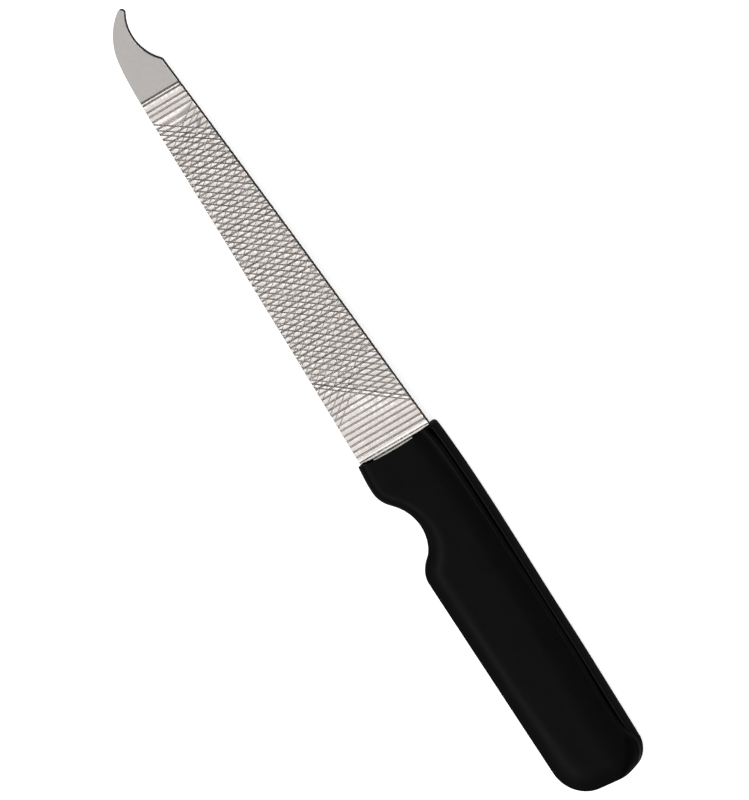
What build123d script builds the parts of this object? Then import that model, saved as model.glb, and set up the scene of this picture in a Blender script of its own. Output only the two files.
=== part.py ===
"""Flat hand file with a hooked tip and a handle moulded in two halves.

+X runs along the blade towards its tip, +Y towards the side with the finger notch, and +Z is up.
The tool lies on the flat back of its handle, and the origin is the bottom centre of its bounding box.
Everything is drawn about a drawing origin, on the blade's centre line where it leaves the handle and
halfway through the blade's thickness, and is moved into the frame at the end. Sizes are millimetres.
"""

import math
import os

from build123d import *

# Blade: one flat piece of steel, from the hooked tip to the end of the tang
BLADE_THICKNESS = 1.15
SHOULDER_Y = [8.35, -8.49]  # where the two long edges start, at the mouth
UPPER_MIDDLE = (39.0, 6.5)  # the upper edge is a shade hollow
LOWER_MIDDLE = (39.5, -6.76)  # the lower edge is a shade full
LOWER_END = (101.0, -3.46)  # where the lower edge would end if it ran on past the tip

# Hook at the tip: arcs of (radius, degrees turned to the right), each starting where the last one ends
HOOK_START = (78.0, 4.84)
HOOK_ARCS = [(162.0, 3.2), (37.5, 5.7), (13.0, 46.1), (0.72, 157.0), (8.6, -97.0)]
HEEL_X = 86.1  # where the last arc, the scoop, runs out through the lower edge
HEEL_RADIUS = 0.8

# Tang: a wide neck at the mouth, then a narrow tail that passes the finger notch
NECK_WIDTH = 9.4
NECK_Y = 0.7
NECK_END_X = -5.0
TAIL_WIDTH = 7.0
TAIL_Y = -0.5
TAIL_END_X = -71.0
STEP_RADIUS = 0.7
TAIL_RADIUS = 2.4
TANG_HOLE_RADIUS = 1.65
TANG_HOLE_X = [-25.0, -44.0, -63.0]

# Outline of the handle's front half; the back half stands proud of it by RIM_STEP
NOTCH_SIDE = [(3.0, 8.4), (-6.0, 9.2), (-31.0, 9.87), (-50.0, 10.04), (-77.2, 10.3)]
PLAIN_SIDE = [(-79.1, -6.6), (-69.0, -7.07), (-58.0, -7.47), (-40.0, -7.88), (-15.0, -8.48), (3.0, -7.9)]
PLAIN_FLARE = [(-79.1, -7.45), (-73.5, -7.35)]  # the front half spreads over the back half at the butt
BUTT_BULGE = (-78.5, 0.0)
BUTT_RADII = [7.2, 5.0]  # notch side, plain side
FLARE_RADIUS = 5.4
NOTCH_RADIUS = 8.35
NOTCH_CENTRE = (-16.4, 12.82)
NOTCH_CORNER_RADII = [5.2, 4.8]  # towards the mouth, towards the butt
MOUTH_RADIUS = 75.0  # the mouth is a shallow hollow arc
MOUTH_BOTTOM = (-0.85, -0.8)
MOUTH_CORNERS = [0.6, 1.3]  # radius on the front half, on the back half
SHOULDER_GAP = 0.1  # between the mouth and the blade's shoulders

# Handle, through its thickness
FRONT_DEPTH = 3.0
BACK_DEPTH = 4.6
FRONT_EDGE_RADIUS = 1.9
BACK_EDGE_RADIUS = 1.4
RIM_STEP = 0.5
RIM_RADIUS = 0.3
SEAM_RADIUS = 0.25

# Inside of the handle
FIT = 0.05  # clearance between pieces that fit into each other
WALL = 2.2
FLOOR = 1.9
RIB = 1.4
RIB_PITCH = 11.0
PEG_RADIUS = 1.5
PEG_REACH = 1.4  # how far a peg enters the front half, above the parting plane

# For drawing
TOLERANCE = 0.01  # for picking edges and corners by their place
FAR = 200.0  # further than anything on the tool

TOP_OF_BLADE = BLADE_THICKNESS / 2


def mouth_x(y):
    """Where the mouth's hollow arc crosses a line along the tool."""
    across = y - MOUTH_BOTTOM[1]
    return MOUTH_BOTTOM[0] + MOUTH_RADIUS - math.sqrt(MOUTH_RADIUS**2 - across**2)


def biggest(sketch):
    """The largest face of a sketch, without the slivers that a cut leaves."""
    return sketch.faces().sort_by(SortBy.AREA)[-1]


def corner_near(sketch, x, y):
    """The sketch's corner nearest to a point."""
    return sketch.vertices().sort_by_distance((x, y))[0]


def hook_chain(heading):
    """The hook's arcs, from the blade's upper edge round the point and back along the scoop."""
    start = HOOK_START
    chain = []
    for radius, turn in HOOK_ARCS:
        arc = JernArc(start, heading, radius, -turn)
        start, heading = arc @ 1, arc % 1
        chain.append(arc)
    return chain


def shoulder_arc():
    """The blade's shoulders, bowed to fit the hollow of the mouth with a little clearance."""
    ends = [(mouth_x(y) + SHOULDER_GAP, y) for y in SHOULDER_Y]
    return ThreePointArc(ends[0], (MOUTH_BOTTOM[0] + SHOULDER_GAP, MOUTH_BOTTOM[1]), ends[1])


def blade_outline():
    """The blade without its tang, tapering from the shoulders to the hook."""
    root = shoulder_arc()
    upper = ThreePointArc(root @ 0, UPPER_MIDDLE, HOOK_START)
    chain = hook_chain(upper % 1)
    below = Polyline(chain[-1] @ 1, ((root @ 1).X, -FAR), root @ 1)
    outline = make_face([root, upper, *chain, below])
    lower = ThreePointArc(root @ 1, LOWER_MIDDLE, LOWER_END)
    waste = make_face([lower, Polyline(LOWER_END, (LOWER_END[0], -FAR), (-FAR, -FAR), root @ 1)])
    outline = biggest(outline - waste)
    return fillet([corner_near(outline, HEEL_X, LOWER_END[1])], HEEL_RADIUS)


def tang_outline(growth=0.0):
    """The tang's neck and tail, grown all round for the pocket that holds them."""
    neck = Pos(NECK_END_X / 2, NECK_Y) * Rectangle(-NECK_END_X, NECK_WIDTH)
    tail = Pos(TAIL_END_X / 2, TAIL_Y) * Rectangle(-TAIL_END_X, TAIL_WIDTH)
    outline = neck + fillet(tail.vertices().sort_by(Axis.X)[:2], TAIL_RADIUS)
    steps = outline.vertices().filter_by_position(Axis.X, NECK_END_X - TOLERANCE, NECK_END_X + TOLERANCE)
    outline = fillet(steps, STEP_RADIUS)
    return offset(outline, amount=growth) if growth else outline


def file_blade():
    """The steel: blade and tang in one piece, with holes in the tang for the handle's pegs."""
    outline = blade_outline() + tang_outline()
    for x in TANG_HOLE_X:
        outline -= Pos(x, TAIL_Y) * Circle(TANG_HOLE_RADIUS)
    return Pos(0, 0, -TOP_OF_BLADE) * extrude(outline, BLADE_THICKNESS)


def handle_outline(growth=0.0, flared=False):
    """A half's outline, running on past the mouth: grown or, below zero, shrunk from the front half's."""
    behind = min(growth, 0.0)  # both halves end together at the butt, so what is grown runs out there
    upper = [(x, y + growth) for x, y in NOTCH_SIDE]
    lower = [(x, y - growth) for x, y in PLAIN_SIDE]
    upper[-1] = (upper[-1][0] - behind, upper[-1][1])
    lower[0] = (lower[0][0] - behind, lower[0][1])
    if flared:
        lower = PLAIN_FLARE + lower[1:]
    butt = ThreePointArc(upper[-1], (BUTT_BULGE[0] - behind, BUTT_BULGE[1]), lower[0])
    outline = make_face([Spline(*upper), butt, Spline(*lower), Line(lower[-1], upper[0])])
    butt_radii = [BUTT_RADII[0], FLARE_RADIUS if flared else BUTT_RADII[1]]
    for corner, radius in zip([upper[-1], lower[0]], butt_radii):
        outline = fillet([corner_near(outline, *corner)], radius + growth)
    notch_radius = NOTCH_RADIUS - growth
    outline = biggest(outline - Pos(*NOTCH_CENTRE) * Circle(notch_radius))
    for side, radius in zip([1, -1], NOTCH_CORNER_RADII):
        corner = corner_near(outline, NOTCH_CENTRE[0] + side * notch_radius, upper[1][1])
        outline = fillet([corner], radius + growth)
    return outline


def mouth_disc(wall=0.0):
    """What the mouth's hollow arc removes, leaving a wall of some thickness."""
    centre = (MOUTH_BOTTOM[0] + MOUTH_RADIUS, MOUTH_BOTTOM[1])
    return Pos(*centre) * Circle(MOUTH_RADIUS + wall)


def side_edges(solid, z):
    """The edges round a half at height z, apart from the one past the mouth."""
    level = solid.edges().filter_by_position(Axis.Z, z - TOLERANCE, z + TOLERANCE)
    return level.filter_by(lambda edge: edge.center().X < NOTCH_SIDE[0][0] - TOLERANCE)


def rounded_half(outline, depth, edge_radius, seam_radius, mouth_corner):
    """A solid half on the parting plane, rounded at its face and its seam, with the mouth cut."""
    solid = extrude(outline, depth)
    solid = fillet(side_edges(solid, depth), edge_radius)
    solid = fillet(side_edges(solid, 0), seam_radius)
    trimmed = biggest(outline - mouth_disc())
    trimmed = fillet(trimmed.vertices().sort_by(Axis.X)[-2:], mouth_corner)
    return solid & extrude(trimmed, depth)


def tang_pocket():
    """The room for the whole tang, open at the mouth."""
    pocket = extrude(tang_outline(FIT), BLADE_THICKNESS)
    return Pos(0, 0, -TOP_OF_BLADE) * pocket


def peg_cylinder(x, radius, bottom, top):
    """A round peg, or the hole for one, between two heights."""
    return Pos(x, TAIL_Y, bottom) * extrude(Circle(radius), top - bottom)


def handle_front():
    """The front half: a shallow cover with rolled edges and a blind socket for each peg."""
    outline = handle_outline(flared=True)
    solid = rounded_half(outline, FRONT_DEPTH, FRONT_EDGE_RADIUS, SEAM_RADIUS, MOUTH_CORNERS[0])
    solid -= tang_pocket()
    for x in TANG_HOLE_X:
        solid -= peg_cylinder(x, PEG_RADIUS + FIT, -PEG_REACH, PEG_REACH + FIT)
    return solid


def ribs():
    """What stays standing between the cores: a spine, cross ribs and a boss round each peg."""
    grid = Pos(0, TAIL_Y) * Rectangle(FAR, RIB)
    count = round(abs(BUTT_BULGE[0]) / RIB_PITCH)
    for i in range(count):
        grid += Pos(NECK_END_X - i * RIB_PITCH, 0) * Rectangle(RIB, FAR)
    for x in TANG_HOLE_X:
        grid += Pos(x, TAIL_Y) * Circle(PEG_RADIUS + RIB)
    return grid


def handle_back():
    """The back half: a deeper tray, cored out between ribs, with three locating pegs."""
    outline = handle_outline(RIM_STEP)
    solid = rounded_half(outline, BACK_DEPTH, BACK_EDGE_RADIUS, RIM_RADIUS, MOUTH_CORNERS[1])
    solid = mirror(solid, Plane.XY)
    room = biggest(handle_outline(-WALL) - mouth_disc(WALL)) - ribs()
    solid -= Pos(0, 0, FLOOR - BACK_DEPTH) * extrude(room, BACK_DEPTH - FLOOR)
    solid -= tang_pocket()
    for x in TANG_HOLE_X:
        solid += peg_cylinder(x, PEG_RADIUS, FLOOR - BACK_DEPTH, PEG_REACH)
    return solid


def main():
    os.makedirs("parts", exist_ok=True)
    nodes = {
        "file_blade": file_blade(),
        "handle_front": handle_front(),
        "handle_back": handle_back(),
    }
    solids = [solid for shape in nodes.values() for solid in shape.solids()]
    box = Compound(children=solids).bounding_box()
    to_frame = Pos(-box.center().X, -box.center().Y, -box.min.Z)
    for name, shape in nodes.items():
        export_step(to_frame * shape, f"parts/{name}.step")


main()
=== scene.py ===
"""The looks of the hand file: teeth cut into the steel, a moulded handle in two halves, light and camera.

Shapes are drawn in millimetres about the tool's own origin, which is on the blade's centre line where it
leaves the handle, halfway through the steel. +X runs to the tip, +Y to the finger notch and +Z up. One
function moves them into the frame.
"""

import math
import random

import bmesh
import bpy
import numpy as np
from mathutils import Matrix, Vector, noise
from mathutils.geometry import delaunay_2d_cdt


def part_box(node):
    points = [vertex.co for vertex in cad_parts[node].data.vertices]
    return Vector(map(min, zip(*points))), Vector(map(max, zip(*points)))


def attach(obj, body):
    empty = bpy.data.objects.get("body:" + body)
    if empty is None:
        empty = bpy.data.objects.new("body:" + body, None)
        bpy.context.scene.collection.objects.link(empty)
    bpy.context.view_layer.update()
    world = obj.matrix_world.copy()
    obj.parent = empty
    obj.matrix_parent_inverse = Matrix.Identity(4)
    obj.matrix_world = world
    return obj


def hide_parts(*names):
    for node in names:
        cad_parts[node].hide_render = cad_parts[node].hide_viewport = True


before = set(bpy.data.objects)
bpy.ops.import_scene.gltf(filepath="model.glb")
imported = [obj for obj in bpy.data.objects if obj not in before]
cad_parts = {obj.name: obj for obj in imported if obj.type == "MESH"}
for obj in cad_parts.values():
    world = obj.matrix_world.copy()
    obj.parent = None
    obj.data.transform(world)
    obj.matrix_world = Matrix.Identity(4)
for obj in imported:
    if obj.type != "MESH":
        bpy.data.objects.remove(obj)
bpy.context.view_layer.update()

MM = 0.001
TANG_LENGTH = 71.0
SHOULDER_Y = 8.35  # the blade's corner on the finger notch's side
blade_low, blade_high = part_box("file_blade")
ORIGIN = (blade_low + blade_high) / 2
ORIGIN.x = blade_low.x + TANG_LENGTH * MM
ORIGIN.y = blade_high.y - SHOULDER_Y * MM
BLADE_TOP = (blade_high.z - blade_low.z) / MM / 2
FACE_HEIGHT = (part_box("handle_front")[1].z - ORIGIN.z) / MM
BACK_DEPTH = (ORIGIN.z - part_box("handle_back")[0].z) / MM

# Blade
ROOT_REACH = 9.2  # half the length of the cuts at the mouth, a little past the blade's edges
REACH_TAPER = 0.0469  # what they lose per millimetre towards the tip
EDGE_BREAK = 0.06  # the small bevel along the blade's edges
HOLE_STEP = 0.4  # between the points round a hole in the tang
HOLE_PERIMETER = 60.0  # a hole's outline is shorter than this, and the blade's is longer

# Teeth: each groove has a steep side towards the handle, a flat bottom and a gentle side towards the tip
GROOVE_DEPTH = 0.17
GROOVE_STEEP = 0.10
GROOVE_FLOOR = 0.08
GROOVE_GENTLE = 0.16
BURR = 0.03  # how far a tooth's edge stands above the ground face
JITTER = {"place": 0.035, "slope": 0.004}  # how far a cut may be off
DEPTH_RANGE = [0.85, 1.1]  # of a cut's depth
PATCHES = [0.15, 1.4]  # the least and most that a counter cut shows before the first diagonal
COVERED_DEPTH = 0.7  # of the straight cuts that the first counter cut crosses
GROOVE_WIDTHS = {"cross": 1.2, "diagonal": 0.9, "counter": 0.65}  # of the widths above
FIRST_CROSS = [(81.5, 1.25), (80.85, 1.1), (79.35, 0.85), (78.4, 0.65), (77.2, 0.8)]  # place, depth: uneven
CROSS_FROM = 75.6
CROSS_PITCH = 1.1817
CROSS_END = -0.1
LAST_CROSS = -0.7
CROSS_SLOPE = 0.009  # the straight cuts aren't quite square
DIAGONAL_FROM = 73.65  # where the first diagonal cut crosses the centre line
DIAGONAL_TO = 13.2
DIAGONAL_PITCH = 1.482
FIRST_DIAGONALS = [0.0, 1.39, 2.42, 3.59, 5.21]  # how far behind the first one: uneven
DIAGONAL_SLOPES = [0.665, 0.735]  # at the tip, at the handle
DIAGONAL_FADE = 0.2  # of their depth, by the handle
CUT_DEPTHS = {"diagonal": 1.0, "counter": 0.6, "closing": 1.1}
CLOSING_CUTS = [12.55, 11.65]  # the last two diagonals of one family, close together
CLOSING_SLOPE = 0.745

# Handle
RIM_STEP = 0.5  # how far the tray stands proud of the cover
WALL_HEIGHT = 1.5  # of the front half, below its rounded edge
EDGE_RISE = 0.16  # of the small round at the top of that wall, before the gentle slope to the face
EDGE_WIDTH = 0.25
BUTT_ROUND = [2.0, 2.7]  # by how much that round is wider and taller at the butt's corner on the plain side
BUTT_ROUND_FROM = [-70.5, -0.5]  # along the tool, across it
BUTT_ROUND_LENGTH = 4.0
SEAM_RADIUS = 0.25  # of the cover
SEAM_GAP = 0.5  # how deep the groove between the halves is
RIM_RADIUS = 0.48  # of the tray
HIGHLIGHT_ROWS = [2, 5]  # the rows on the crest of the tray's rim that get a painted highlight: from one to just before the other
BACK_EDGE_RADIUS = 1.4
MOUTH_X = -0.85
MOUTH_BREAK = 0.07  # the small bevel round a half's face
MOUTH_SPAN = [0.4, 0.3]  # the mouth's wall starts so far behind MOUTH_X, and is whole so much further on
MOUTH_LEAN = 0.4  # how far the cover's wall leans in under its edge at the mouth
LEAN_TO = 8.2  # how far from the centre line it does so
SIDE_END = 0.6  # the sides end so far behind MOUTH_X
RUN_ON = 5.0  # how far their path is carried on past the mouth
NOTCH_ROLL = 2.0  # width of the cover's rolled edge at the mouth, on the finger notch's side
PLAIN_ROLL = 2.8  # the same on the plain side
GRIP_ROLL = 4.4
BUTT_ROLL = 5.6
NOTCH_ROLL_SPAN = [-9.0, 16.0]  # where each width starts to change, and over what length
PLAIN_ROLL_SPAN = [-4.0, 30.0]
BUTT_ROLL_SPAN = [-50.0, 25.0]
SEAM_DROP = 2.55  # how far the seam runs down towards the back at the butt
SEAM_DROP_FROM = -69.0
SEAM_DROP_LENGTH = 7.0

# Meshes
CORNER_TURN = 0.6  # radians: an outline that turns more than this has a corner there
LONG_SIDE = 3.0  # times as long as its neighbour
OUTLINE_STEP = 0.45
FACE_RINGS = [MOUTH_BREAK, 0.15, 0.25, 0.4, 0.65, 1.0]  # how far inside a half's outline its face has rows
FACE_STEP = 0.6
RING_SHARE = 0.97  # of a ring's distance: points nearer the outline are dropped
MAP_STEP = 0.25
MAP_BLUR = 2.6  # steps
MAP_MARGIN = 3.0
BATCH = 2000  # points that are measured at once
PATH_STEP = 0.3  # of the even path that the rolled edges follow
PATH_BLUR = 4  # steps to each side that are averaged along it

random.seed(11)


def to_frame(x, y, z):
    """A point of the tool, in millimetres, as a point of the frame, in metres."""
    return ORIGIN + Vector((x, y, z)) * MM


# Outlines, taken from the CAD nodes


def section(node, height):
    """The closed outlines where a level plane cuts a CAD node, in tool millimetres, longest first."""
    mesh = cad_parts[node].data
    points = [(v.co - ORIGIN) / MM for v in mesh.vertices]
    follows = {}
    for polygon in mesh.polygons:
        corners = [points[i] for i in polygon.vertices]
        ends = []
        for a, b in zip(corners, corners[1:] + corners[:1]):
            if (a.z > height) != (b.z > height):
                cut = a.lerp(b, (height - a.z) / (b.z - a.z))
                ends.append((round(cut.x, 3), round(cut.y, 3)))
        if len(ends) == 2 and ends[0] != ends[1]:
            follows.setdefault(ends[0], []).append(ends[1])
            follows.setdefault(ends[1], []).append(ends[0])
    loops = []
    while follows:
        loop = [next(iter(follows))]
        while loop[-1] in follows:
            choices = [p for p in follows.pop(loop[-1]) if p in follows]
            if not choices:
                break
            loop.append(choices[0])
        loops.append(without_straight_points(np.array(loop)))
    loops = [loop for loop in loops if len(loop) > 3]
    return sorted((anticlockwise(loop) for loop in loops), key=perimeter, reverse=True)


def perimeter(loop):
    return np.linalg.norm(np.roll(loop, -1, axis=0) - loop, axis=1).sum()


def anticlockwise(loop):
    following = np.roll(loop, -1, axis=0)
    area = (loop[:, 0] * following[:, 1] - following[:, 0] * loop[:, 1]).sum()
    return loop if area > 0 else loop[::-1]


def without_straight_points(loop, tolerance=0.002):
    """The loop without the points that lie on the line between their neighbours."""
    before = np.roll(loop, 1, axis=0)
    chord = np.roll(loop, -1, axis=0) - before
    length = np.maximum(np.linalg.norm(chord, axis=1), 1e-9)
    off = np.abs(chord[:, 0] * (loop - before)[:, 1] - chord[:, 1] * (loop - before)[:, 0]) / length
    return loop[off > tolerance]


def finer(loop, step):
    """The loop with points at most one step apart, on a smooth curve through the given ones."""
    result = []
    count = len(loop)
    for i in range(count):
        p0, p1, p2, p3 = (loop[(i + k) % count] for k in (-1, 0, 1, 2))
        length = np.linalg.norm(p2 - p1)
        parts = max(1, math.ceil(length / step))
        leave = unit(p2 - p1) if turn(p0, p1, p2) > CORNER_TURN else heading(p0, p1, p2)
        reach = unit(p2 - p1) if turn(p1, p2, p3) > CORNER_TURN else heading(p1, p2, p3)
        for k in range(parts):
            t = k / parts
            bend = (2 * t**3 - 3 * t**2 + 1) * p1 + (3 * t**2 - 2 * t**3) * p2
            result.append(bend + length * ((t**3 - 2 * t**2 + t) * leave + (t**3 - t**2) * reach))
    return np.array(result)


def unit(v):
    return v / max(np.linalg.norm(v), 1e-9)


def heading(a, b, c):
    """Which way a smooth path a, b, c runs at b: a side far longer than the other keeps its direction."""
    back, on = b - a, c - b
    if np.linalg.norm(back) > LONG_SIDE * np.linalg.norm(on):
        return unit(back)
    if np.linalg.norm(on) > LONG_SIDE * np.linalg.norm(back):
        return unit(on)
    return unit(unit(back) + unit(on))


def turn(a, b, c):
    """The angle by which a path a, b, c turns at b, in radians."""
    return math.acos(max(-1.0, min(1.0, float(unit(b - a) @ unit(c - b)))))


def inset(loop, distance):
    """The loop's points moved inwards, along the line that halves each corner."""
    back = loop - np.roll(loop, 1, axis=0)
    on = np.roll(loop, -1, axis=0) - loop
    back /= np.linalg.norm(back, axis=1)[:, None]
    on /= np.linalg.norm(on, axis=1)[:, None]
    middle = np.stack([-(back + on)[:, 1], (back + on)[:, 0]], axis=1)
    middle /= np.linalg.norm(middle, axis=1)[:, None]
    normal = np.stack([-on[:, 1], on[:, 0]], axis=1)
    stretch = np.maximum((middle * normal).sum(axis=1), 0.5)
    return loop + middle * (distance / stretch)[:, None]


def distances(points, path):
    """For each point, the distance to an open path and the nearest place on it."""
    if len(points) > BATCH:
        halves = [distances(part, path) for part in (points[:BATCH], points[BATCH:])]
        return tuple(np.concatenate(parts) for parts in zip(*halves))
    start, step = path[:-1], path[1:] - path[:-1]
    share = ((points[:, None, :] - start) * step).sum(axis=2) / (step * step).sum(axis=1)
    nearest = start + np.clip(share, 0, 1)[:, :, None] * step
    gap = np.linalg.norm(points[:, None, :] - nearest, axis=2)
    best = gap.argmin(axis=1)
    rows = np.arange(len(points))
    return gap[rows, best], nearest[rows, best]


def inside(points, loops):
    """Which points are inside an odd number of the loops."""
    odd = np.zeros(len(points), bool)
    for loop in loops:
        for a, b in zip(loop, np.roll(loop, -1, axis=0)):
            spans = (a[1] > points[:, 1]) != (b[1] > points[:, 1])
            rise = b[1] - a[1] if b[1] != a[1] else 1.0
            odd ^= spans & (points[:, 0] < a[0] + (points[:, 1] - a[1]) * (b[0] - a[0]) / rise)
    return odd


def triangulate(loops, extra_loops=(), lines=(), points=()):
    """Triangles that fill the loops and have the extra loops, lines and points among their edges."""
    spots, edges = [], []
    for loop in [*loops, *extra_loops]:
        first = len(spots)
        spots += [tuple(p) for p in loop]
        edges += [(first + i, first + (i + 1) % len(loop)) for i in range(len(loop))]
    for a, b in lines:
        edges.append((len(spots), len(spots) + 1))
        spots += [a, b]
    spots += [tuple(p) for p in points]
    made = delaunay_2d_cdt([Vector(p) for p in spots], edges, [], 0, 1e-5, False)
    flat = np.array([tuple(p) for p in made[0]])
    triangles = np.array([f for f in made[2] if len(f) == 3])
    triangles = triangles[inside(flat[triangles].mean(axis=1), loops)]
    used, renumbered = np.unique(triangles, return_inverse=True)
    return flat[used], renumbered.reshape(-1, 3)


def rim_edges(triangles):
    """The edges that only one triangle has, each in that triangle's direction."""
    seen = {}
    for a, b, c in triangles.tolist():
        for edge in ((a, b), (b, c), (c, a)):
            seen[edge] = True
    return [edge for edge in seen if (edge[1], edge[0]) not in seen]


def make_object(name, points, faces, materials, node, smooth_angle=30.0):
    """A mesh object in the frame, from tool millimetres, that stands for a CAD node."""
    mesh = bpy.data.meshes.new(name)
    mesh.from_pydata([to_frame(*p) for p in points], [], faces)
    mesh.update()
    for material in materials:
        mesh.materials.append(material)
    mesh.shade_smooth()
    mesh.set_sharp_from_angle(angle=math.radians(smooth_angle))
    obj = bpy.data.objects.new(name, mesh)
    bpy.context.scene.collection.objects.link(obj)
    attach(obj, "root")
    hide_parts(node)
    return obj


# The blade's teeth


class Groove:
    """One straight cut across the blade: where it crosses the centre line, how it leans, how deep it is."""

    def __init__(self, family, crossing, slope, depth=1.0):
        self.family = family
        half_floor = GROOVE_FLOOR / 2
        edges = (-half_floor - GROOVE_STEEP, -half_floor, half_floor, half_floor + GROOVE_GENTLE)
        self.edges = [edge * GROOVE_WIDTHS[family] for edge in edges]
        self.crossing = crossing + random.uniform(-JITTER["place"], JITTER["place"])
        self.slope = slope + random.uniform(-JITTER["slope"], JITTER["slope"])
        self.depth = depth * random.uniform(*DEPTH_RANGE)

    def offset(self, points):
        """How far points lie from the groove's middle, towards the tip."""
        lean = math.hypot(1.0, self.slope)
        return (points[:, 0] - self.crossing - self.slope * points[:, 1]) / lean

    def line(self, offset):
        """The groove's line at an offset, cut off just past the blade's edges."""
        crossing = self.crossing + offset * math.hypot(1.0, self.slope)
        ends = []
        for side in (1, -1):
            y = side * (ROOT_REACH - REACH_TAPER * crossing) / (1 + side * REACH_TAPER * self.slope)
            ends.append((crossing + self.slope * y, y))
        return ends


def cross_cuts():
    """The straight cuts, square to the blade, from the plain tip to the mouth."""
    cuts = [Groove("cross", x, CROSS_SLOPE, depth) for x, depth in FIRST_CROSS]
    x = CROSS_FROM
    while x > CROSS_END:
        cuts.append(Groove("cross", x, CROSS_SLOPE))
        x -= CROSS_PITCH
    return cuts + [Groove("cross", LAST_CROSS, CROSS_SLOPE)]


def diagonal_cuts(family, side):
    """One family of diagonal cuts, which leans a little more towards the handle."""
    places = [DIAGONAL_FROM - behind for behind in FIRST_DIAGONALS]
    while places[-1] - DIAGONAL_PITCH > DIAGONAL_TO:
        places.append(places[-1] - DIAGONAL_PITCH)
    cuts = []
    for x in places:
        share = (DIAGONAL_FROM - x) / (DIAGONAL_FROM - DIAGONAL_TO)
        slope = DIAGONAL_SLOPES[0] + share * (DIAGONAL_SLOPES[1] - DIAGONAL_SLOPES[0])
        cuts.append(Groove(family, x, side * slope, CUT_DEPTHS[family] - share * DIAGONAL_FADE))
    return cuts


def wander(points, scale, seed):
    """Smooth noise over the blade, from about -1 to 1."""
    return np.array([noise.noise((x * scale, y * scale, seed)) for x, y in points])


def cut_strength(groove, points, first_diagonal, first_counter):
    """How deep a groove is at each point: it fades in patches, and in the corner before the diagonals."""
    seed = {"cross": 3.0, "diagonal": 17.0, "counter": 31.0}[groove.family]
    strength = groove.depth * (1.0 + 0.35 * wander(points, 0.45, seed + groove.crossing * 0.2))
    before = first_diagonal.offset(points) > 0.1
    if groove.family == "counter":
        patches = 0.9 + 1.1 * wander(points, 1.1, seed)
        strength = np.where(before, strength * np.clip(patches, *PATCHES), strength)
    if groove.family == "cross":
        past = before & (first_counter.offset(points) > 0.0) & (points[:, 0] < CROSS_FROM + 0.5)
        strength = np.where(past, strength * COVERED_DEPTH, strength)
    return strength


def tooth_heights(points, grooves):
    """The height of the cut face, how far each point is into a groove, and how near a tooth's edge."""
    first_diagonal = next(g for g in grooves if g.family == "diagonal")
    first_counter = next(g for g in grooves if g.family == "counter")
    cut = np.zeros(len(points))
    gullet_shade = np.zeros(len(points))
    burr = np.zeros(len(points))
    reach = CROSS_PITCH
    for groove in grooves:
        offset = groove.offset(points)
        near = np.abs(offset) < reach
        strength = np.zeros(len(points))
        strength[near] = cut_strength(groove, points[near], first_diagonal, first_counter)
        low = np.interp(offset, groove.edges, [0, 1, 1, 0])
        cut = np.maximum(cut, low * strength)
        # painted shade: how far the point lies in the grooves, which darkens the steel's colour there
        gullet_shade += low * strength
        behind = np.interp(offset, [-reach, groove.edges[0], groove.edges[1]], [0, 1, 0])
        burr = np.maximum(burr, behind * strength)
    heights = np.where(cut > 0.02, -GROOVE_DEPTH * cut, BURR * burr)
    return heights, gullet_shade, burr


def make_blade():
    """The steel: its outline from the CAD, with real grooves on both faces."""
    loops = section("file_blade", 0.0)
    loops = [finer(loop, HOLE_STEP) if perimeter(loop) < HOLE_PERIMETER else loop for loop in loops]
    broken = [inset(loops[0], EDGE_BREAK)]
    counter = diagonal_cuts("counter", -1)
    diagonal = diagonal_cuts("diagonal", 1)
    diagonal += [Groove("diagonal", x, CLOSING_SLOPE, CUT_DEPTHS["closing"]) for x in CLOSING_CUTS]
    grooves = cross_cuts() + diagonal + counter
    lines = [groove.line(offset) for groove in grooves for offset in groove.edges]
    flat, triangles = triangulate(loops, broken, lines)
    heights, gullet_shade, burr = tooth_heights(flat, grooves)
    rim = rim_edges(triangles)
    on_rim = np.zeros(len(flat), bool)
    on_rim[[a for a, b in rim]] = True
    heights = np.where(on_rim, np.minimum(heights, -EDGE_BREAK * 0.8), heights)
    count = len(flat)
    top = [(x, y, BLADE_TOP - BURR + h) for (x, y), h in zip(flat, heights)]
    bottom = [(x, y, -z) for x, y, z in top]
    faces = triangles.tolist()
    faces += [[c + count, b + count, a + count] for a, b, c in triangles.tolist()]
    flat_faces = len(faces)
    faces += [[b, a, a + count, b + count] for a, b in rim]
    materials = [steel_material(), punched_material()]
    obj = make_object("blade_steel", top + bottom, faces, materials, "file_blade")
    obj.data.polygons.foreach_set("material_index", [int(i >= flat_faces) for i in range(len(faces))])
    for attribute, values in (("gullet", gullet_shade), ("burr", burr)):
        layer = obj.data.attributes.new(attribute, "FLOAT", "POINT")
        layer.data.foreach_set("value", np.concatenate([values, values]).astype(np.float32))


# The handle's halves


def side_path(loop):
    """The loop without its mouth, as an open path that runs on past the mouth at both ends."""
    is_side = loop[:, 0] < MOUTH_X - SIDE_END
    starts = np.nonzero(is_side & ~np.roll(is_side, 1))[0]
    path = np.roll(loop, -starts[0], axis=0)[: is_side.sum()]
    head = path[0] + unit(path[0] - path[3]) * RUN_ON
    tail = path[-1] + unit(path[-1] - path[-4]) * RUN_ON
    path = np.vstack([head, path, tail])
    along = np.concatenate([[0], np.cumsum(np.linalg.norm(np.diff(path, axis=0), axis=1))])
    even = np.arange(0, along[-1], PATH_STEP)
    path = np.stack([np.interp(even, along, path[:, k]) for k in (0, 1)], axis=1)
    window = np.ones(2 * PATH_BLUR + 1) / (2 * PATH_BLUR + 1)
    padded = np.pad(path, ((PATH_BLUR, PATH_BLUR), (0, 0)), mode="reflect", reflect_type="odd")
    return np.stack([np.convolve(padded[:, k], window, "valid") for k in (0, 1)], axis=1)


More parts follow.
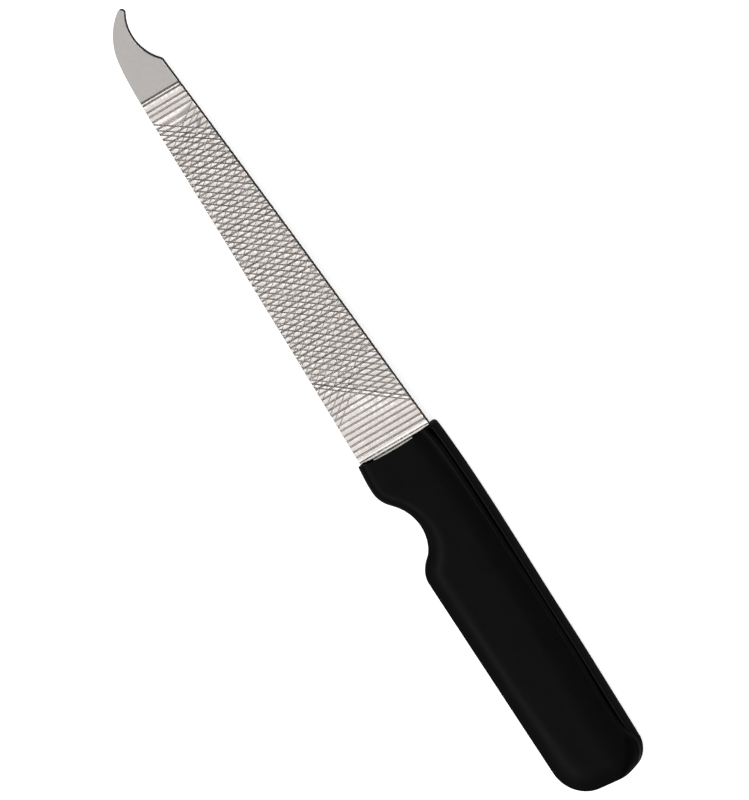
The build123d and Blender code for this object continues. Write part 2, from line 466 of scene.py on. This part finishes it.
def roll_width(nearest):
    """How wide the rolled edge is: narrow at the mouth, wider through the finger notch and on the grip."""
    spans = (NOTCH_ROLL_SPAN, PLAIN_ROLL_SPAN, BUTT_ROLL_SPAN)
    notch, plain, butt = (smooth_step((start - nearest[:, 0]) / length) for start, length in spans)
    upper = NOTCH_ROLL + (GRIP_ROLL - NOTCH_ROLL) * notch
    lower = PLAIN_ROLL + (GRIP_ROLL - PLAIN_ROLL) * plain
    return np.where(nearest[:, 1] > 0, upper, lower) + (BUTT_ROLL - GRIP_ROLL) * butt


def smooth_step(t):
    """Rises smoothly from 0 to 1 as t does."""
    t = np.clip(t, 0, 1)
    return t * t * (3 - 2 * t)


class SmoothMap:
    """A function of places near a loop, worked out on an even grid and blurred."""

    def __init__(self, loop, function):
        self.low = loop.min(axis=0) - MAP_MARGIN
        counts = ((loop.max(axis=0) + MAP_MARGIN - self.low) / MAP_STEP).astype(int) + 1
        xs, ys = (self.low[k] + MAP_STEP * np.arange(counts[k]) for k in (0, 1))
        grid = np.stack(np.meshgrid(xs, ys, indexing="ij"), axis=2)
        values = function(grid.reshape(-1, 2)).reshape(counts)
        reach = np.arange(-3 * MAP_BLUR, 3 * MAP_BLUR + 1)
        weights = np.exp(-((reach / MAP_BLUR) ** 2) / 2)
        weights /= weights.sum()
        for axis in (0, 1):
            margins = [(len(reach) // 2,) * 2 if k == axis else (0, 0) for k in (0, 1)]
            padded = np.pad(values, margins, mode="edge")
            values = np.apply_along_axis(np.convolve, axis, padded, weights, "valid")
        self.values = values

    def at(self, points):
        """The map's values at points, straight between its grid's corners."""
        place = (points - self.low) / MAP_STEP
        cell = place.astype(int)
        (i, j), (u, v) = cell.T, (place - cell).T
        near = self.values[i, j] * (1 - v) + self.values[i, j + 1] * v
        far = self.values[i + 1, j] * (1 - v) + self.values[i + 1, j + 1] * v
        return near * (1 - u) + far * u


def filled_points(loop):
    """Points inside a loop: rings that follow it, then an even grid."""
    closed = np.vstack([loop, loop[:1]])
    kept = []
    for distance in FACE_RINGS:
        ring = inset(loop, distance)
        kept.append(ring[distances(ring, closed)[0] > distance * RING_SHARE])
    low, high = loop.min(axis=0), loop.max(axis=0)
    xs = np.arange(low[0], high[0], FACE_STEP)
    ys = np.arange(low[1], high[1], FACE_STEP)
    grid = np.array([(x, y + (i % 2) * FACE_STEP / 2) for i, x in enumerate(xs) for y in ys])
    grid = grid[inside(grid, [loop])]
    kept.append(grid[distances(grid, closed)[0] > FACE_RINGS[-1] + FACE_STEP * 0.6])
    return np.vstack(kept)


def seam_drop(points):
    """How far the seam lies below the parting plane, at points."""
    return SEAM_DROP * smooth_step((SEAM_DROP_FROM - points[:, 0]) / SEAM_DROP_LENGTH)


def shell(name, loop, face_height, side, rows, node):
    """A closed half: a face from a height function, a wall down to rows of (inset, height), and a base.

    The crest of the back half's rim has a painted highlight, lighter in colour, which its vertices carry as
    an attribute.
    """
    flat, triangles = triangulate([loop], points=filled_points(loop))
    heights = face_height(flat)
    rim = rim_edges(triangles)
    on_rim = np.zeros(len(flat), bool)
    on_rim[[a for a, b in rim]] = True
    heights = np.where(on_rim, heights - MOUTH_BREAK, heights)
    points = [(x, y, side * h) for (x, y), h in zip(flat, heights)]
    faces = triangles.tolist()
    order = ordered_rim(rim)
    ring_points = flat[order]
    last = order
    lean = smooth_step((ring_points[:, 0] - (MOUTH_X - MOUTH_SPAN[0])) / MOUTH_SPAN[1])
    lean *= MOUTH_LEAN * smooth_step(LEAN_TO - np.abs(ring_points[:, 1])) * (side > 0)
    for distance, height in rows:
        moved = inset(ring_points, distance)
        moved[:, 0] -= lean
        ring = list(range(len(points), len(points) + len(moved)))
        points += [(x, y, side * height - drop) for (x, y), drop in zip(moved, seam_drop(moved))]
        for i in range(len(ring)):
            j = (i + 1) % len(ring)
            faces.append([last[j], last[i], ring[i], ring[j]])
        last = ring
    base, base_triangles = triangulate([moved])
    first = len(points)
    points += [(x, y, side * rows[-1][1] - drop) for (x, y), drop in zip(base, seam_drop(base))]
    faces += [[c + first, b + first, a + first] for a, b, c in base_triangles.tolist()]
    if side < 0:
        faces = [face[::-1] for face in faces]
    obj = make_object(name, points, faces, [plastic_material()], node, 40.0)
    # Painted highlight: the crest rows of the tray's rim are marked for a lighter colour.
    highlighted = np.zeros(len(points), np.float32)
    if side < 0:
        highlighted[len(flat) + HIGHLIGHT_ROWS[0] * len(order) : len(flat) + HIGHLIGHT_ROWS[1] * len(order)] = 1.0
    obj.data.attributes.new("painted_highlight", "FLOAT", "POINT").data.foreach_set("value", highlighted)
    weld(obj)


def weld(obj):
    """Joins the points of the base to the last row."""
    work = bmesh.new()
    work.from_mesh(obj.data)
    bmesh.ops.remove_doubles(work, verts=work.verts, dist=0.002 * MM)
    work.to_mesh(obj.data)
    work.free()


def ordered_rim(rim):
    """The rim's vertices in the order in which its edges run."""
    following = dict(rim)
    order = [rim[0][0]]
    while following[order[-1]] != order[0]:
        order.append(following[order[-1]])
    return order


def make_front():
    """The front half: a shallow cover whose rolled edge widens along the grip."""
    loop = finer(section("handle_front", FACE_HEIGHT / 3)[0], OUTLINE_STEP)
    path = side_path(loop)

    def slope_height(points):
        gap, nearest = distances(points, path)
        gap = np.where(inside(points, [path]), gap, -gap)
        share = np.minimum(gap / roll_width(nearest), 1)
        return (FACE_HEIGHT - WALL_HEIGHT - EDGE_RISE) * (1 - (1 - share) ** 2)

    slope = SmoothMap(loop, slope_height)

    def face_height(points):
        at_butt = smooth_step((BUTT_ROUND_FROM[0] - points[:, 0]) / BUTT_ROUND_LENGTH)
        at_butt *= smooth_step((BUTT_ROUND_FROM[1] - points[:, 1]) / BUTT_ROUND_LENGTH)
        share = np.clip(distances(points, path)[0] / (EDGE_WIDTH + BUTT_ROUND[0] * at_butt), 0, 1)
        rise = EDGE_RISE + BUTT_ROUND[1] * at_butt
        return WALL_HEIGHT + EDGE_RISE - rise * (1 - np.sqrt(1 - (1 - share) ** 2)) + slope.at(points)

    rows = [(0.0, 0.3), (0.05, 0.12), (0.14, 0.02), (SEAM_RADIUS, 0.0)]
    shell("handle_cover", loop, face_height, 1, rows, "handle_front")


def make_back():
    """The back half: a deeper tray whose rim stands proud of the cover, with a gap at the seam."""
    loop = finer(section("handle_back", -BACK_DEPTH / 3)[0], OUTLINE_STEP)
    path = side_path(loop)

    def face_height(points):
        gap, _ = distances(points, path)
        share = np.clip(gap / BACK_EDGE_RADIUS, 0, 1)
        return BACK_DEPTH - BACK_EDGE_RADIUS + BACK_EDGE_RADIUS * np.sqrt(1 - (1 - share) ** 2)

    rows = [
        (0.0, RIM_RADIUS),
        (0.04, 0.24),
        (0.11, 0.10),
        (0.20, 0.02),
        (0.28, 0.0),
        (0.34, 0.03),
        (0.38, 0.12),
        (RIM_STEP, SEAM_GAP),
    ]
    shell("handle_tray", loop, face_height, -1, rows, "handle_back")


# Materials


class Nodes:
    """A material's node tree, with short calls for the nodes used here."""

    def __init__(self, name):
        self.material = bpy.data.materials.new(name)
        self.material.use_nodes = True
        self.tree = self.material.node_tree
        self.surface = self.tree.nodes["Principled BSDF"]

    def add(self, kind, inputs=(), **settings):
        """A node with its settings, and its inputs as values or as another node's output."""
        node = self.tree.nodes.new(kind)
        for key, value in settings.items():
            setattr(node, key, value)
        for key, value in dict(inputs).items():
            self.set(node, key, value)
        return node

    def set(self, node, key, value):
        if isinstance(value, bpy.types.NodeSocket):
            self.tree.links.new(value, node.inputs[key])
        else:
            node.inputs[key].default_value = value

    def math(self, operation, a, b):
        return self.add("ShaderNodeMath", {0: a, 1: b}, operation=operation).outputs[0]

    def spread(self, value, low, high, new_low, new_high):
        """The value's range, mapped smoothly to another one."""
        inputs = {"Value": value, "From Min": low, "From Max": high, "To Min": new_low, "To Max": new_high}
        return self.add("ShaderNodeMapRange", inputs, interpolation_type="SMOOTHSTEP").outputs[0]

    def mix(self, share, a, b):
        node = self.add("ShaderNodeMix", data_type="RGBA")
        self.set(node, 0, share)
        self.set(node, 6, a)
        self.set(node, 7, b)
        return node.outputs[2]

    def place(self, scale=(1, 1, 1), turn=0.0):
        """The point on the object, in millimetres, stretched and turned about the vertical."""
        where = self.add("ShaderNodeTexCoord").outputs["Object"]
        scales = tuple(s / MM for s in scale)
        mapping = self.add("ShaderNodeMapping", {"Vector": where, "Scale": scales, "Rotation": (0, 0, turn)})
        return mapping.outputs[0]

    def noise(self, where, scale, detail=3.0, roughness=0.5):
        inputs = {"Vector": where, "Scale": scale, "Detail": detail, "Roughness": roughness}
        return self.add("ShaderNodeTexNoise", inputs).outputs[0]

    def bump(self, height, distance, strength=1.0, normal=None):
        inputs = {"Height": height, "Distance": distance * MM, "Strength": strength}
        node = self.add("ShaderNodeBump", inputs)
        if normal is not None:
            self.set(node, "Normal", normal)
        return node.outputs[0]


def steel_material():
    """Satin steel at the tip, and brighter ground lands where teeth are cut, with a painted highlight along
    the teeth's burred edges and near the mouth, and painted shade in the gullets.
    """
    nodes = Nodes("file_steel")
    along = nodes.add("ShaderNodeSeparateXYZ", {0: nodes.place()}).outputs[0]
    origin_x = ORIGIN.x / MM
    cut_start = origin_x + FIRST_CROSS[0][0]
    is_cut = nodes.spread(along, cut_start - 0.15, cut_start + 0.1, 1.0, 0.0)
    grain = nodes.noise(nodes.place((1.0, 5.0, 1.0), 0.5), 2.2, 4.0, 0.65)
    blotch = nodes.noise(nodes.place(), 0.35, 2.0)
    speck = nodes.noise(nodes.place(), 5.0, 2.0, 0.6)
    chip = nodes.noise(nodes.place((1.0, 1.6, 1.0)), 1.1, 2.0, 0.6)
    satin = nodes.spread(grain, 0.3, 0.7, 0.0, 1.0)
    tip = nodes.mix(satin, (0.252, 0.240, 0.232, 1), (0.285, 0.270, 0.260, 1))
    specks = nodes.spread(speck, 0.35, 0.7, 0.0, 1.0)
    land = nodes.mix(specks, (0.375, 0.349, 0.332, 1), (0.456, 0.430, 0.411, 1))
    land = nodes.mix(nodes.spread(blotch, 0.35, 0.7, 0.0, 0.35), land, (0.318, 0.297, 0.281, 1))
    # Painted highlight: the lands' colour is lighter along each tooth's burred edge, in chipped patches.
    burr = nodes.add("ShaderNodeAttribute", attribute_name="burr").outputs["Fac"]
    burr_glint = nodes.spread(burr, 0.35, 1.1, 0.0, 1.0)
    burr_glint = nodes.math("MULTIPLY", burr_glint, nodes.spread(chip, 0.4, 0.65, 0.2, 1.0))
    land = nodes.mix(burr_glint, land, (0.620, 0.595, 0.570, 1))
    # Painted light: within 0.7 mm of the mouth, where the handle shades the blade, the lands are painted
    # near white and made much less metallic.
    at_mouth = nodes.spread(along, origin_x + 0.7, origin_x + 0.1, 0.0, 1.0)
    land = nodes.mix(at_mouth, land, (0.900, 0.870, 0.840, 1))
    metal = nodes.mix(is_cut, tip, land)
    # Painted shade in the grooves: the gullets' colour is darkened, somewhat less within 8 mm of the mouth
    # and most right at it.
    gullet = nodes.add("ShaderNodeAttribute", attribute_name="gullet").outputs["Fac"]
    shade_amount = nodes.math("MULTIPLY", gullet, nodes.spread(chip, 0.3, 0.7, 0.65, 1.3))
    shade_amount = nodes.math("MULTIPLY", shade_amount, nodes.spread(along, origin_x + 8.0, origin_x + 14.0, 0.8, 1.08))
    shade_amount = nodes.math("MULTIPLY", shade_amount, nodes.spread(at_mouth, 0.0, 1.0, 1.0, 2.2))
    gullet_shade = nodes.spread(shade_amount, 0.1, 1.9, 0.0, 1.0)
    colour = nodes.mix(gullet_shade, metal, (0.060, 0.050, 0.044, 1))
    nodes.set(nodes.surface, "Base Color", colour)
    dulled = nodes.math("MAXIMUM", gullet_shade, nodes.math("MULTIPLY", at_mouth, 0.7))
    nodes.set(nodes.surface, "Metallic", nodes.spread(dulled, 0.0, 1.0, 1.0, 0.25))
    nodes.set(nodes.surface, "Roughness", nodes.spread(grain, 0.2, 0.8, 0.3, 0.42))
    fine = nodes.bump(grain, 0.006)
    nodes.set(nodes.surface, "Normal", nodes.bump(speck, 0.004, 1.0, fine))
    return nodes.material


def punched_material():
    """The blade's edge: dark, with fine upright tear lines."""
    nodes = Nodes("punched_edge")
    tears = nodes.noise(nodes.place((3.0, 3.0, 0.3)), 3.0, 3.0, 0.6)
    torn = nodes.spread(tears, 0.3, 0.7, 0.0, 1.0)
    nodes.set(nodes.surface, "Base Color", nodes.mix(torn, (0.018, 0.019, 0.022, 1), (0.06, 0.06, 0.063, 1)))
    nodes.surface.inputs["Metallic"].default_value = 0.8
    nodes.set(nodes.surface, "Roughness", nodes.spread(tears, 0.2, 0.8, 0.42, 0.6))
    nodes.set(nodes.surface, "Normal", nodes.bump(tears, 0.03))
    return nodes.material


def plastic_material():
    """Black moulded plastic: a fine texture, faint cloudy flow marks, and a painted highlight on the crest
    of the tray's rim.
    """
    name = "black_plastic"
    if name in bpy.data.materials:
        return bpy.data.materials[name]
    nodes = Nodes(name)
    texture = nodes.noise(nodes.place(), 4.5, 3.0, 0.6)
    flow = nodes.noise(nodes.place((0.4, 1.0, 1.0)), 0.35, 3.0, 0.55)
    cloudy = nodes.spread(flow, 0.3, 0.7, 0.0, 1.0)
    colour = nodes.mix(cloudy, (0.0009, 0.0009, 0.0010, 1), (0.0014, 0.0013, 0.0013, 1))
    # Painted highlight: a lighter colour on the tray rim's crest.
    painted_highlight = nodes.add("ShaderNodeAttribute", attribute_name="painted_highlight").outputs["Fac"]
    colour = nodes.mix(painted_highlight, colour, (0.0085, 0.0078, 0.0068, 1))
    nodes.set(nodes.surface, "Base Color", colour)
    nodes.set(nodes.surface, "Roughness", nodes.spread(flow, 0.2, 0.8, 0.32, 0.4))
    nodes.surface.inputs["Specular IOR Level"].default_value = 0.030
    nodes.set(nodes.surface, "Normal", nodes.bump(texture, 0.012))
    return nodes.material


def floor_material():
    """Plain pale paper, a little mottled, evenly bright to the lens; to reflections and bounced light it is
    a darker grey, which paints shade into the sides that face it.
    """
    nodes = Nodes("pale_floor")
    mottle = nodes.noise(nodes.place(), 0.02, 2.0)
    colour = nodes.mix(mottle, (0.88, 0.88, 0.88, 1), (0.9, 0.9, 0.9, 1))
    # Painted shade: only camera rays see the pale, glowing floor; all other rays see it dark grey.
    seen = nodes.add("ShaderNodeLightPath").outputs["Is Camera Ray"]
    nodes.set(nodes.surface, "Base Color", nodes.mix(seen, (0.32, 0.32, 0.32, 1), colour))
    nodes.surface.inputs["Roughness"].default_value = 0.9
    nodes.surface.inputs["Specular IOR Level"].default_value = 0.1
    nodes.surface.inputs["Emission Color"].default_value = (1, 1, 1, 1)
    nodes.set(nodes.surface, "Emission Strength", nodes.math("MULTIPLY", seen, FLOOR_GLOW))
    return nodes.material


# The stage

BRIGHT_SKY = (-0.05, 0.35, 0.94)  # the way to the room's brightest part
BRIGHT_SKY_LEVEL = 1.15
DIM_SKY_LEVEL = 0.25
SKY_SPAN = [0.15, 0.95]  # where the light rises from dim to bright, as the cosine of the angle from that way
FLOOR_HALF = 3.0  # metres
FLOOR_GLOW = 0.52


def make_floor():
    mesh = bpy.data.meshes.new("floor")
    corners = [(x * FLOOR_HALF, y * FLOOR_HALF, 0) for x, y in ((-1, -1), (1, -1), (1, 1), (-1, 1))]
    mesh.from_pydata(corners, [], [(0, 1, 2, 3)])
    mesh.materials.append(floor_material())
    floor = bpy.data.objects.new("floor", mesh)
    bpy.context.scene.collection.objects.link(floor)


def aim(obj, direction):
    """Turns a light to look along a direction."""
    obj.rotation_mode = "QUATERNION"
    obj.rotation_quaternion = Vector(direction).to_track_quat("-Z", "Y")


def make_light(name, place, size, power):
    light = bpy.data.lights.new(name, "AREA")
    light.shape = "RECTANGLE"
    light.size, light.size_y = size
    light.energy = power
    obj = bpy.data.objects.new(name, light)
    obj.location = place
    aim(obj, -Vector(place))
    obj.visible_camera = False
    bpy.context.scene.collection.objects.link(obj)


def make_lights():
    """An even white room with one broad soft light overhead, on the finger notch's side."""
    world = bpy.data.worlds.new("studio")
    world.use_nodes = True
    tree = world.node_tree
    direction = tree.nodes.new("ShaderNodeTexCoord").outputs["Generated"]
    height = tree.nodes.new("ShaderNodeVectorMath")
    height.operation = "DOT_PRODUCT"
    height.inputs[1].default_value = Vector(BRIGHT_SKY).normalized()
    tree.links.new(direction, height.inputs[0])
    fall = tree.nodes.new("ShaderNodeMapRange")
    fall.interpolation_type = "SMOOTHSTEP"
    fall.inputs["From Min"].default_value, fall.inputs["From Max"].default_value = SKY_SPAN
    fall.inputs["To Min"].default_value = DIM_SKY_LEVEL
    fall.inputs["To Max"].default_value = BRIGHT_SKY_LEVEL
    tree.links.new(height.outputs["Value"], fall.inputs["Value"])
    seen = tree.nodes.new("ShaderNodeLightPath").outputs["Is Camera Ray"]
    level = tree.nodes.new("ShaderNodeMix")
    level.data_type = "FLOAT"
    tree.links.new(seen, level.inputs[0])
    tree.links.new(fall.outputs[0], level.inputs[2])
    level.inputs[3].default_value = 1.0
    tree.links.new(level.outputs[0], tree.nodes["Background"].inputs["Strength"])
    tree.nodes["Background"].inputs["Color"].default_value = (1.0, 1.0, 1.0, 1)
    bpy.context.scene.world = world
    make_light("strip_key", (-0.1, 1.0, 1.15), (1.2, 0.2), 8.0)
    make_light("strip_rim", (0.1, -1.35, 0.75), (1.2, 0.25), 14.0)
    bpy.context.scene.view_settings.view_transform = "Standard"


# Camera: square to the picture, these are the tool's directions seen from the lens
ROLL = math.radians(33.7)  # how far the tool leans from upright in the picture
TOWARDS_LENS = Vector((0.10565, -0.40920, 0.90631))
VIEW_WIDTH = 154.2  # of the picture's long side, at the tool, in millimetres
LENS = 1400.0
SENSOR = 36.0
AIM_RIGHT = -3.76  # from the tool's origin to the middle of the picture, in millimetres
AIM_UP = 8.19


def make_camera():
    """A long lens, nearly overhead, with the tip at the upper left."""
    back = TOWARDS_LENS.normalized()
    along = (Vector((1, 0, 0)) - back * back.x).normalized()
    across = back.cross(along)
    right = along * -math.sin(ROLL) - across * math.cos(ROLL)
    up = along * math.cos(ROLL) - across * math.sin(ROLL)
    data = bpy.data.cameras.new("camera")
    data.lens = LENS
    data.sensor_width = SENSOR
    camera = bpy.data.objects.new("camera", data)
    distance = VIEW_WIDTH * MM * LENS / SENSOR
    centre = ORIGIN + (right * AIM_RIGHT + up * AIM_UP) * MM
    turned = Matrix((right, up, back)).transposed().to_4x4()
    camera.matrix_world = Matrix.Translation(centre + back * distance) @ turned
    bpy.context.scene.collection.objects.link(camera)
    bpy.context.scene.camera = camera


make_blade()
make_front()
make_back()
make_floor()
make_lights()
make_camera()
